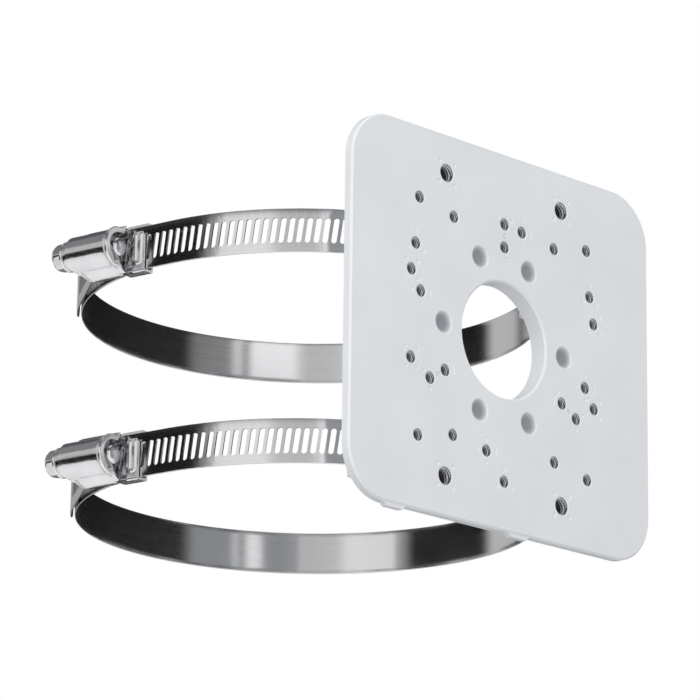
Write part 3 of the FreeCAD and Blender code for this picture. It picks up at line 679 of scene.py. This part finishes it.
TONGUE_OUTSIDE = smooth_line(((-1.5, 71.0), (-7.0, 71.0), (-7.88, 71.0), (-7.88, 72.2),
                              (-7.88, 74.2), (-7.88, 75.4), (-6.8, 75.4), (-4.0, 75.4),
                              (0.0, 75.4), (3.0, 75.4), (5.2, 75.4)))
TONGUE_INSIDE = smooth_line(((-1.5, 71.8), (-6.8, 71.8), (-7.15, 71.8), (-7.15, 72.6),
                             (-7.15, 74.0), (-7.15, 74.65), (-6.4, 74.65), (-4.0, 74.65),
                             (0.0, 74.65), (3.0, 74.65), (4.7, 74.65)))
TONGUE_NEAR, TONGUE_FAR = 9.3, 13.7
BEAD_NEAR, BEAD_FAR, BEAD_WIDTH, BEAD_HEIGHT = 10.4, 12.55, 0.65, 0.45
BEAD_LOW, BEAD_TOP = -4.1, 4.3
TONGUE_FACE = 74.0
TONGUE_STEPS, TONGUE_POINTS = 26, 110
CORNER_CUT, CORNER_REACH = 0.035, 0.7


def bead_height(along, across):
    """The looped bead: two uprights joined by a half round at the bottom."""
    middle, radius = (BEAD_NEAR + BEAD_FAR) / 2, (BEAD_FAR - BEAD_NEAR) / 2
    if across > BEAD_LOW:
        distance = abs(abs(along - middle) - radius)
        distance = math.hypot(distance, max(0.0, across - BEAD_TOP))
    else:
        distance = abs(math.hypot(along - middle, across - BEAD_LOW) - radius)
    if distance > BEAD_WIDTH:
        return 0.0
    return BEAD_HEIGHT * math.cos(distance / BEAD_WIDTH * math.pi / 2) ** 2


saddle_points, saddle_faces, sections = [], [], []
for number in range(TONGUE_STEPS + 1):
    along = TONGUE_NEAR + (TONGUE_FAR - TONGUE_NEAR) * number / TONGUE_STEPS
    end_cut = min(along - TONGUE_NEAR, TONGUE_FAR - along)
    share = 1.0 - CORNER_CUT * max(0.0, 1 - end_cut / CORNER_REACH) ** 2
    outside = spread_line(TONGUE_OUTSIDE, TONGUE_POINTS, share)
    inside = spread_line(TONGUE_INSIDE, TONGUE_POINTS, share)
    section = []
    for place in outside + inside[::-1]:
        raised = bead_height(along, place.x) if place.y > TONGUE_FACE else 0.0
        section.append(clamp_point(place.y + raised, -along, place.x))
    sections.append(section)
add_loft(saddle_points, saddle_faces, sections)

CRADLE_OUTSIDE = smooth_line(((-7.95, 73.9), (-7.95, 72.4), (-7.95, 71.0), (-6.8, 71.0),
                              (0, 71.0), (6.8, 71.0), (7.95, 71.0), (7.95, 72.4),
                              (7.95, 73.9)))
CRADLE_INSIDE = smooth_line(((-7.15, 73.9), (-7.15, 72.4), (-7.15, 71.8), (-6.4, 71.8),
                             (0, 71.8), (6.4, 71.8), (7.15, 71.8), (7.15, 72.4),
                             (7.15, 73.9)))
# the solid's bed follows the ring on under the housing, this one ends in the housing's mouth
CRADLE_STATIONS, CRADLE_POINTS = (8.9, 9.3, 17.2), 40
sections = []
for along in CRADLE_STATIONS:
    section = (spread_line(CRADLE_OUTSIDE, CRADLE_POINTS)
               + spread_line(CRADLE_INSIDE, CRADLE_POINTS)[::-1])
    sections.append([clamp_point(place.y - 0.02, -along, place.x * 0.999) for place in section])
add_loft(saddle_points, saddle_faces, sections)

for level, height in LEVELS.items():
    cradle = new_piece(f"{level}_cradle", saddle_points, saddle_faces, pressed_steel, 40)
    cradle.location.z = height / 1000
    bpy.context.view_layer.update()
    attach(cradle, f"{level}_clamp")
    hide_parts(f"{level}_saddle")


# Worm housings
# Each is pressed from stainless sheet: a tunnel that widens to a rolled bead at its mouth, and
# two rounded feet that close round the band's edges. A thick collar shuts the back of the tunnel.
SCREW_AXIS = RING_RADIUS + 5.0
# distance along the run, outer and inner radius of the tunnel, share of the foot that is there
HOUSING_STATIONS = (
    (15.82, 6.10, 4.72, 0.66), (15.88, 6.34, 4.70, 0.66), (16.05, 6.50, 4.70, 0.66),
    (16.35, 6.54, 4.75, 0.66), (16.70, 6.48, 4.82, 0.66), (17.10, 6.34, 4.92, 0.67),
    (17.50, 6.20, 5.00, 0.74), (17.75, 6.12, 5.00, 0.82), (18.10, 6.06, 5.00, 0.92),
    (18.60, 6.00, 5.00, 0.98), (19.40, 5.95, 5.00, 1.00), (22.00, 5.88, 5.00, 1.00),
    (25.00, 5.84, 5.00, 1.00), (26.50, 5.82, 5.00, 1.00), (27.60, 5.80, 5.00, 0.97),
    (28.60, 5.80, 5.00, 0.92), (29.60, 5.80, 5.00, 0.85), (30.60, 5.80, 5.00, 0.74),
    (31.40, 5.80, 5.00, 0.62), (31.90, 5.80, 5.00, 0.56), (32.60, 5.80, 5.00, 0.54),
    (33.20, 5.80, 5.00, 0.53),
)
SIDE_POINTS = 60


def housing_section(along, outer, inner, share):
    """The outline of the sheet across the screw at one station. The second half of the inner
    line is joined on in the wrong order, which leaves two false walls in each tunnel."""
    def side(radius, foot):
        arch = [(radius * math.sin(math.radians(turn)),
                 SCREW_AXIS + radius * math.cos(math.radians(turn))) for turn in range(0, 91, 9)]
        return [Vector(place) for place in arch] + smooth_line([arch[-1], *foot])[1:]

    outside = side(outer, ((outer + 0.02, 78.7), (outer + 0.40, 77.8), (7.2, 77.1),
                           (7.95, 75.9), (7.95, 73.9), (7.85, 72.76), (6.4, 72.76), (4.2, 72.76)))
    inside = side(inner, ((inner, 78.6), (inner + 0.1, 77.2), (6.4, 76.4), (7.16, 75.8),
                          (7.16, 74.9), (7.16, 74.0), (7.1, 73.54), (6.4, 73.54), (4.2, 73.54)))
    outside = spread_line(outside, SIDE_POINTS, share)
    inside = spread_line(inside, SIDE_POINTS, share)
    loop = []
    for half in (outside, inside[::-1]):
        mirrored = [Vector((-place.x, place.y)) for place in half]
        whole = mirrored[::-1] + half[1:] if half is outside else half + mirrored[1:]
        loop += [clamp_point(place.y, -along, place.x) for place in whole]
    return loop


housing_points, housing_faces = [], []
add_loft(housing_points, housing_faces, [housing_section(*row) for row in HOUSING_STATIONS])


def add_turning(points, faces, rows, count=72):
    """A body turned about the screw's axis, from rows of distance and radius. A radius may be a
    function of the angle."""
    first = len(points)
    for along, radius in rows:
        for number in range(count):
            angle = 2 * math.pi * number / count
            size = radius(angle) if callable(radius) else radius
            points.append(clamp_point(SCREW_AXIS + size * math.cos(angle), -along,
                                      size * math.sin(angle)))
    for row in range(len(rows) - 1):
        a, b = first + row * count, first + (row + 1) * count
        for number in range(count):
            following = (number + 1) % count
            faces.append((a + number, a + following, b + following, b + number))


COLLAR_ROWS = ((31.95, 3.45), (31.95, 5.3), (32.0, 5.6), (32.7, 5.62), (32.8, 5.74),
               (32.95, 5.8), (33.12, 5.8), (33.25, 5.72), (33.3, 5.58), (33.3, 5.0),
               (33.22, 4.9), (33.22, 3.6), (33.15, 3.45), (31.95, 3.45))
add_turning(housing_points, housing_faces, COLLAR_ROWS)

for level, height in LEVELS.items():
    tunnel = new_piece(f"{level}_tunnel", housing_points, housing_faces, pressed_steel, 45)
    tunnel.location.z = height / 1000
    bpy.context.view_layer.update()
    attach(tunnel, f"{level}_clamp")
    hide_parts(f"{level}_housing")


# Worm screws
# Each is turned and thread-rolled from steel bar and plated. The worm turns in the housing, the
# flange stands behind the collar, and the hexagon head has a slot for a flat driver.
plated_steel, steel, shader = new_material("plated_steel")
shader.inputs["Metallic"].default_value = 1.0
turning = add_noise(steel, 1.0, 3, (500, 500, 500))
steel.links.new(add_tint(steel, turning, (0.70, 0.70, 0.71), (0.78, 0.78, 0.79)),
                shader.inputs["Base Color"])
steel.links.new(add_range(steel, turning, 0.14, 0.24), shader.inputs["Roughness"])
steel.links.new(add_bump(steel, turning, 0.00003, 0.3), shader.inputs["Normal"])

WORM_NEAR, WORM_FAR, WORM_ROOT, WORM_CREST = 18.2, 31.2, 3.4, 4.65
THREAD_FLANK, THREAD_SHARE, THREAD_FADE = 0.22, 0.72, 0.8
HEXAGON_FLATS, HEAD_ROUND = 8.0, 4.5


def worm_radius(along):
    """The radius round the screw at a place in the worm. The thread drawn here winds the
    wrong way, left-hand, and leans against the band's slots. A right-hand one would suit
    them."""
    def at(angle):
        phase = (along / SLOT_PITCH + angle / (2 * math.pi)) % 1.0
        rise = min(1.0, max(0.0, min(phase / THREAD_FLANK,
                                     (THREAD_SHARE - phase) / THREAD_FLANK)))
        fade = min(1.0, (along - WORM_NEAR) / THREAD_FADE, (WORM_FAR - along) / THREAD_FADE)
        return WORM_ROOT + (WORM_CREST - WORM_ROOT) * rise * max(0.0, fade)
    return at


def head_radius(limit):
    """The radius round the hexagon head where its corners are rounded off at a limit."""
    def at(angle):
        within = (math.degrees(angle) + 30) % 60 - 30
        flat = HEXAGON_FLATS / 2 / math.cos(math.radians(30 - abs(within)))
        return min(flat, limit)
    return at


screw_rows = [(14.65, 0.0), (14.67, 0.7), (14.80, 1.5), (15.05, 2.2), (15.40, 2.7), (15.85, 3.0),
              (16.30, 3.1), (18.0, 3.1), (18.15, 3.2)]
steps = 100
for number in range(steps + 1):
    place = WORM_NEAR + (WORM_FAR - WORM_NEAR) * number / steps
    screw_rows.append((place, worm_radius(place)))
screw_rows += [(31.25, 3.1), (33.55, 3.1), (33.6, 4.5), (33.65, 4.8), (33.8, 5.0), (35.0, 5.0),
               (35.2, 4.9), (35.3, 4.55), (35.5, 4.55), (35.6, 4.8), (35.75, 4.9), (36.3, 4.9),
               (36.5, 4.7), (36.55, head_radius(4.45)), (36.7, head_radius(HEAD_ROUND)),
               (39.0, head_radius(HEAD_ROUND)), (39.5, head_radius(4.3)),
               (39.9, head_radius(4.0)), (40.1, head_radius(3.6)), (40.2, 3.0), (40.2, 0.0)]
screw_points, screw_faces = [], []
add_turning(screw_points, screw_faces, screw_rows)

DRIVER_SLOT = (38.9, 40.6, 3.3, 0.45)
near, far, long_half, wide_half = DRIVER_SLOT
slot_corners = [clamp_point(SCREW_AXIS + x, -y, z) for y in (near, far)
                for x, z in ((-long_half, -wide_half), (long_half, -wide_half),
                             (long_half, wide_half), (-long_half, wide_half))]
slot_faces = ((0, 1, 2, 3), (4, 5, 6, 7), (0, 1, 5, 4), (1, 2, 6, 5), (2, 3, 7, 6), (3, 0, 4, 7))
for level, height in LEVELS.items():
    worm = new_piece(f"{level}_worm_screw", screw_points, screw_faces, plated_steel, 40)
    cut_away(worm, new_piece("driver_slot", slot_corners, slot_faces, plated_steel))
    worm.location.z = height / 1000
    bpy.context.view_layer.update()
    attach(worm, f"{level}_worm")
    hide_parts(f"{level}_screw")


# Studio
# A pale floor well below the bracket, and soft white light that fades towards the back. The
# polished steel mirrors light and dark walls and a few light cards. The camera looks up from
# the left.
FLOOR_RADIUS, FLOOR_HEIGHT = 3.0, -1.25
floor_mesh = bpy.data.meshes.new("floor")
floor_shape = bmesh.new()
bmesh.ops.create_circle(floor_shape, cap_ends=True, radius=FLOOR_RADIUS, segments=96)
floor_shape.to_mesh(floor_mesh)
floor_shape.free()
floor = bpy.data.objects.new("floor", floor_mesh)
bpy.context.scene.collection.objects.link(floor)
floor.location = (0, 0.08, FLOOR_HEIGHT)
pale_floor, ground, shader = new_material("pale_floor")
ground.links.new(add_tint(ground, add_noise(ground, 3, 2), (0.86, 0.86, 0.86), (0.88, 0.88, 0.88)),
                 shader.inputs["Base Color"])
shader.inputs["Roughness"].default_value = 0.6
floor_mesh.materials.append(pale_floor)
# the floor stays out of the bounced light, and a wide sun of its own keeps it white
floor.visible_diffuse = False
lit_floor = bpy.data.collections.new("lit_floor")
lit_floor.objects.link(floor)
wash = bpy.data.lights.new("floor_wash", "SUN")
wash.energy, wash.angle = 1.45, math.radians(90)
washer = bpy.data.objects.new("floor_wash", wash)
bpy.context.scene.collection.objects.link(washer)
washer.light_linking.receiver_collection = lit_floor

studio = bpy.data.worlds.new("studio")
bpy.context.scene.world = studio
studio.use_nodes = True
air = studio.node_tree
air.nodes.clear()


def air_node(kind, **settings):
    node = air.nodes.new(kind)
    for name, setting in settings.items():
        setattr(node, name, setting)
    return node


def air_math(operation, first, second=None):
    node = air_node("ShaderNodeMath", operation=operation)
    for socket, source in zip(node.inputs, (first, second)):
        if isinstance(source, (int, float)):
            socket.default_value = source
        elif source is not None:
            air.links.new(source, socket)
    return node.outputs[0]


direction = air_node("ShaderNodeSeparateXYZ")
air.links.new(air_node("ShaderNodeTexCoord").outputs["Generated"], direction.inputs[0])
east, north, up = direction.outputs
bearing = air_math("ADD", air_math("DIVIDE", air_math("ARCTAN2", north, east), 2 * math.pi), 0.5)
# bearings of the studio's walls in degrees from +X, and how bright each is in reflections
WALLS = ((0, 0.008), (48, 0.01), (54, 0.38), (78, 0.40), (87, 0.17), (96, 0.55), (116, 0.60),
         (124, 0.008), (170, 0.008), (178, 0.45), (186, 0.92), (205, 0.95), (211, 0.66),
         (227, 0.60), (231, 0.72), (235, 1.15), (256, 1.15), (260, 0.25), (263, 0.80),
         (266, 0.80), (269, 0.28), (288, 0.22), (295, 0.012), (359, 0.008))
# a ramp's colours end at 1, so they are divided by this and the strength makes up for it
BRIGHTEST = 1.25
walls = air_node("ShaderNodeValToRGB")
walls.color_ramp.interpolation = "LINEAR"
stops = sorted((((angle / 360) + 0.5) % 1.0, grey) for angle, grey in WALLS)
for number, (place, grey) in enumerate(stops):
    elements = walls.color_ramp.elements
    stop = elements[number] if number < 2 else elements.new(place)
    stop.position = place
    stop.color = (grey / BRIGHTEST, grey / BRIGHTEST, grey / BRIGHTEST, 1)
air.links.new(bearing, walls.inputs["Fac"])
ceiling = air_node("ShaderNodeMapRange", interpolation_type="SMOOTHSTEP")
ceiling.inputs["From Min"].default_value = 0.84
ceiling.inputs["From Max"].default_value = 0.97
air.links.new(up, ceiling.inputs["Value"])
wall_top = air_node("ShaderNodeMapRange", interpolation_type="SMOOTHSTEP")
wall_top.inputs["From Min"].default_value = 0.42
wall_top.inputs["From Max"].default_value = 0.56
air.links.new(up, wall_top.inputs["Value"])
lower_air = air_node("ShaderNodeMix", data_type="RGBA")
air.links.new(wall_top.outputs["Result"], lower_air.inputs["Factor"])
air.links.new(walls.outputs["Color"], lower_air.inputs["A"])
lower_air.inputs["B"].default_value = (0.08, 0.08, 0.088, 1)
reflected = air_node("ShaderNodeMix", data_type="RGBA")
air.links.new(ceiling.outputs["Result"], reflected.inputs["Factor"])
air.links.new(lower_air.outputs["Result"], reflected.inputs["A"])
reflected.inputs["B"].default_value = (0.64, 0.64, 0.648, 1)

path = air_node("ShaderNodeLightPath")
# the soft light comes from the front and fades towards the back
soft = air_node("ShaderNodeBackground")
soft.inputs["Color"].default_value = (0.98, 0.99, 1.0, 1)
fading = air_node("ShaderNodeMapRange")
for socket, amount in zip(("From Min", "From Max", "To Min", "To Max"),
                          (-0.5, 0.6, 0.70, 0.38)):
    fading.inputs[socket].default_value = amount
air.links.new(north, fading.inputs["Value"])
air.links.new(fading.outputs["Result"], soft.inputs["Strength"])
mirrored = air_node("ShaderNodeBackground")
air.links.new(reflected.outputs["Result"], mirrored.inputs["Color"])
mirrored.inputs["Strength"].default_value = BRIGHTEST
seen = air_node("ShaderNodeBackground")
seen.inputs["Color"].default_value = (1, 1, 1, 1)
seen.inputs["Strength"].default_value = 1.0
by_gloss = air_node("ShaderNodeMixShader")
air.links.new(path.outputs["Is Glossy Ray"], by_gloss.inputs[0])
air.links.new(soft.outputs[0], by_gloss.inputs[1])
air.links.new(mirrored.outputs[0], by_gloss.inputs[2])
by_camera = air_node("ShaderNodeMixShader")
air.links.new(path.outputs["Is Camera Ray"], by_camera.inputs[0])
air.links.new(by_gloss.outputs[0], by_camera.inputs[1])
air.links.new(seen.outputs[0], by_camera.inputs[2])
air.links.new(by_camera.outputs[0], air_node("ShaderNodeOutputWorld").inputs["Surface"])


def add_card(name, place, towards, width, height, brightness, only=None):
    """A soft light card of an even brightness, for all pieces or only for some."""
    card = bpy.data.lights.new(name, "AREA")
    card.shape, card.size, card.size_y = "RECTANGLE", width, height
    card.energy = brightness * math.pi * width * height
    lamp = bpy.data.objects.new(name, card)
    lamp.location = place
    lamp.rotation_euler = (towards - place).to_track_quat("-Z", "Y").to_euler()
    bpy.context.scene.collection.objects.link(lamp)
    if only:
        lamp.light_linking.receiver_collection = only
    return lamp


PLATE_MIDDLE = Vector((0, 0, 0))
key = add_card("key", Vector((-1.1, -1.3, 1.1)), PLATE_MIDDLE, 1.2, 1.2, brightness=2.6)
key.visible_glossy = False
fill = add_card("fill", Vector((-1.5, -0.05, 0.2)), PLATE_MIDDLE, 1.4, 1.4, brightness=1.1)
fill.visible_glossy = False

# cards for the polished clamp parts alone: beside them, above that and in front
polished = bpy.data.collections.new("polished_clamp_parts")
for level in LEVELS:
    for part in ("cradle", "tunnel", "worm_screw"):
        polished.objects.link(bpy.data.objects[f"{level}_{part}"])
CLAMPS = Vector((-0.082, 0.098, 0.0))
for name, bearing_angle, height_angle, width, height, brightness in (
        ("side_card", 150, 16, 1.2, 0.44, 0.56), ("upper_card", 140, 43, 1.6, 0.54, 0.14),
        ("front_card", 334, 18, 1.3, 0.8, 0.62)):
    flat = math.cos(math.radians(height_angle))
    reach = Vector((flat * math.cos(math.radians(bearing_angle)),
                    flat * math.sin(math.radians(bearing_angle)),
                    math.sin(math.radians(height_angle))))
    add_card(name, CLAMPS + reach, CLAMPS, width, height, brightness, polished)

# where the camera stands in metres, and its focal length in millimetres
CAMERA_PLACE, FOCAL_LENGTH = (-0.8625, -0.82064, -0.3512), 206.98
YAW, PITCH, ROLL = math.radians(44.13), math.radians(16.28), math.radians(0.73)
forward = Vector((math.sin(YAW) * math.cos(PITCH), math.cos(YAW) * math.cos(PITCH),
                  math.sin(PITCH)))
level_right = Vector((math.cos(YAW), -math.sin(YAW), 0))
level_up = level_right.cross(forward)
right = math.cos(ROLL) * level_right + math.sin(ROLL) * level_up
above = math.cos(ROLL) * level_up - math.sin(ROLL) * level_right
lens = bpy.data.cameras.new("camera")
lens.sensor_width = 36.0
lens.lens = FOCAL_LENGTH
lens.clip_end = 60.0
camera = bpy.data.objects.new("camera", lens)
turned = Matrix((right, above, -forward)).transposed().to_4x4()
camera.matrix_world = Matrix.Translation(CAMERA_PLACE) @ turned
bpy.context.scene.collection.objects.link(camera)
bpy.context.scene.camera = camera
bpy.context.scene.view_settings.view_transform = "Standard"
